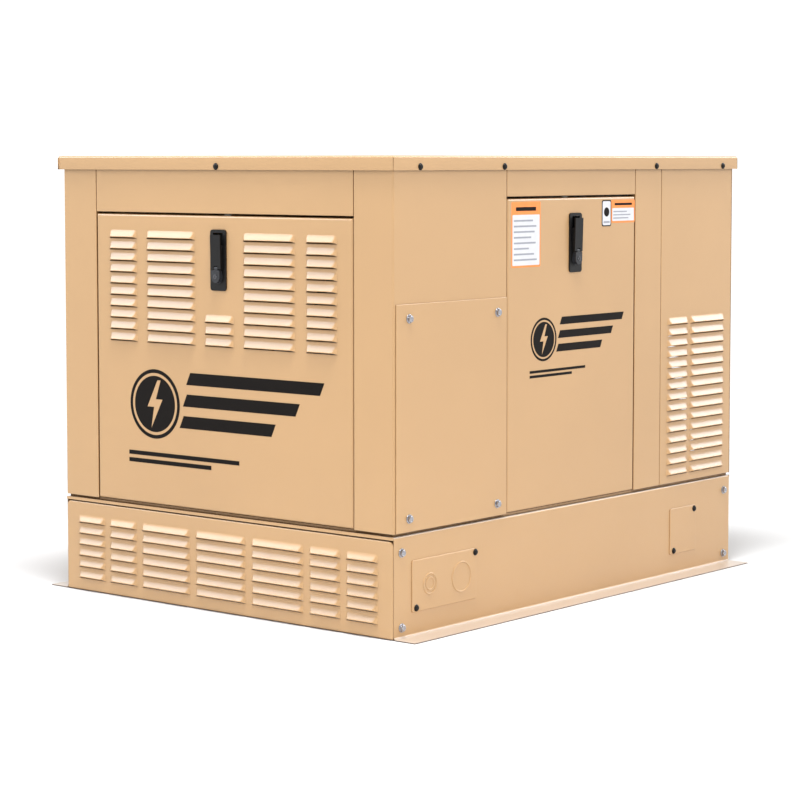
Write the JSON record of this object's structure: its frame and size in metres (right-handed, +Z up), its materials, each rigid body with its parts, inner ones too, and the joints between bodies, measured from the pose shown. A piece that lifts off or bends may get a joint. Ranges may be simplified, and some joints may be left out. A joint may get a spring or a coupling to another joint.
{
  "type": "home standby generator",
  "caption": "Standby generator set in a louvred sheet-metal housing on a flanged base, with lift-off doors, turn latches and a gas engine and alternator inside.",
  "frame": {"origin": "on the floor at the centre of the footprint", "axes": "+Z up, +Y along the length from the louvred-door end to the exhaust end, +X towards the side door"},
  "size_m": [1.04, 1.261, 0.95],
  "materials": {
    "tan_paint": "fine orange-peel powder coat, semi-gloss",
    "galvanised_sheet": "dull galvanised sheet",
    "black_fastener": "black coated, semi-gloss",
    "zinc_fastener": "zinc plated",
    "acoustic_foam": "open-cell foam",
    "latch_plastic": "satin black moulding",
    "latch_hub": "satin black casting",
    "zinc_steel": "zinc plated",
    "lock_metal": "nickel plated",
    "black_frame": "black enamel",
    "rubber": "matte",
    "cast_alloy": "sand cast",
    "machined_steel": "machined",
    "dark_casting": "painted aluminium casting",
    "black_moulding": "moulded plastic",
    "exhaust_steel": "heat-tinted steel",
    "filter_white": "gloss enamel",
    "yellow_plastic": "gloss",
    "battery_case": "moulded case",
    "control_grey": "textured moulding",
    "red_plastic": "gloss"
  },
  "bodies": {
    "housing": {"base_rail_right": "tan_paint", "base_rail_left": "tan_paint", "base_front_panel": "tan_paint", "base_rear_panel": "tan_paint", "base_cross_members": "tan_paint", "base_deck": "tan_paint", "conduit_plate": "tan_paint", "fuel_plate": "tan_paint", "front_corner_right": "tan_paint", "front_corner_left": "tan_paint", "front_header": "tan_paint", "right_header": "tan_paint", "right_post": "tan_paint", "right_rear_panel": "tan_paint", "left_side_panel": "tan_paint", "rear_panel": "tan_paint", "side_cover_plate": "tan_paint", "roof": "tan_paint", "bulkhead": "galvanised_sheet", "black_screws": "black_fastener", "hex_bolts": "zinc_fastener", "skid_rails": "black_frame", "vibration_mounts": "rubber", "alternator_housing": "cast_alloy", "alternator_end_bell": "cast_alloy", "engine_crankcase": "dark_casting", "engine_cylinders": "dark_casting", "valve_covers": "black_frame", "blower_housing": "black_moulding", "intake_mixer": "cast_alloy", "air_cleaner": "black_moulding", "muffler": "exhaust_steel", "exhaust_pipes": "exhaust_steel", "exhaust_outlet": "exhaust_steel", "oil_filter": "filter_white", "starter_motor": "black_frame", "gas_regulator": "cast_alloy", "fuel_hose": "rubber", "battery": "battery_case", "control_box": "control_grey"},
    "front_door": {"front_door_panel": "tan_paint", "front_door_foam": "acoustic_foam", "front_latch_housing": "latch_plastic"},
    "front_handle": {"front_latch_hub": "latch_hub", "front_latch_arm": "zinc_steel"},
    "front_lever": {"front_latch_lever": "latch_plastic"},
    "front_lock": {"front_lock_plug": "lock_metal"},
    "side_door": {"side_door_panel": "tan_paint", "side_door_foam": "acoustic_foam", "side_latch_housing": "latch_plastic"},
    "side_handle": {"side_latch_hub": "latch_hub", "side_latch_arm": "zinc_steel"},
    "side_lever": {"side_latch_lever": "latch_plastic"},
    "side_lock": {"side_lock_plug": "lock_metal"},
    "crank": {"rotor_shaft": "machined_steel", "flywheel_fan": "cast_alloy"},
    "dipstick": {"oil_dipstick": "yellow_plastic"},
    "throttle": {"throttle_lever": "zinc_steel"},
    "switch": {"control_switch": "red_plastic"},
    "breaker": {"breaker_lever": "black_moulding"}
  },
  "joints": [
    {"name": "front_door_tilt", "type": "hinge", "parent": "housing", "child": "front_door", "pos_m": [0, -0.618, 0.211], "axis": [1, 0, 0], "range_deg": [0, 35]},
    {"name": "front_handle_turn", "type": "hinge", "parent": "front_door", "child": "front_handle", "pos_m": [0, -0.618, 0.7], "axis": [0, -1, 0], "range_deg": [0, 90]},
    {"name": "front_lever_lift", "type": "hinge", "parent": "front_handle", "child": "front_lever", "pos_m": [0, -0.625, 0.7186], "axis": [1, 0, 0], "range_deg": [0, 40]},
    {"name": "front_lock_turn", "type": "hinge", "parent": "front_handle", "child": "front_lock", "pos_m": [0, -0.626, 0.701], "axis": [0, -1, 0], "range_deg": [0, 90]},
    {"name": "side_door_tilt", "type": "hinge", "parent": "housing", "child": "side_door", "pos_m": [0.467, 0, 0.211], "axis": [0, 1, 0], "range_deg": [0, 35]},
    {"name": "side_handle_turn", "type": "hinge", "parent": "side_door", "child": "side_handle", "pos_m": [0.467, -0.012, 0.731], "axis": [1, 0, 0], "range_deg": [0, 90]},
    {"name": "side_lever_lift", "type": "hinge", "parent": "side_handle", "child": "side_lever", "pos_m": [0.474, -0.012, 0.7496], "axis": [0, 1, 0], "range_deg": [0, 40]},
    {"name": "side_lock_turn", "type": "hinge", "parent": "side_handle", "child": "side_lock", "pos_m": [0.475, -0.012, 0.732], "axis": [1, 0, 0], "range_deg": [0, 90]},
    {"name": "crank_spin", "type": "hinge", "parent": "housing", "child": "crank", "pos_m": [-0.03, -0.045, 0.419], "axis": [0, 1, 0], "continuous": true},
    {"name": "dipstick_pull", "type": "slide", "parent": "housing", "child": "dipstick", "axis": [0, 0, 1], "range_m": [0, 0.145]},
    {"name": "throttle_turn", "type": "hinge", "parent": "housing", "child": "throttle", "pos_m": [-0.03, 0.043, 0.674], "axis": [0, 1, 0], "range_deg": [0, 75]},
    {"name": "switch_rock", "type": "hinge", "parent": "housing", "child": "switch", "pos_m": [0.406, -0.12, 0.641], "axis": [0, 1, 0], "range_deg": [-8, 8]},
    {"name": "breaker_flip", "type": "hinge", "parent": "housing", "child": "breaker", "pos_m": [0.398, -0.05, 0.627], "axis": [0, 1, 0], "range_deg": [0, 50]}
  ]
}
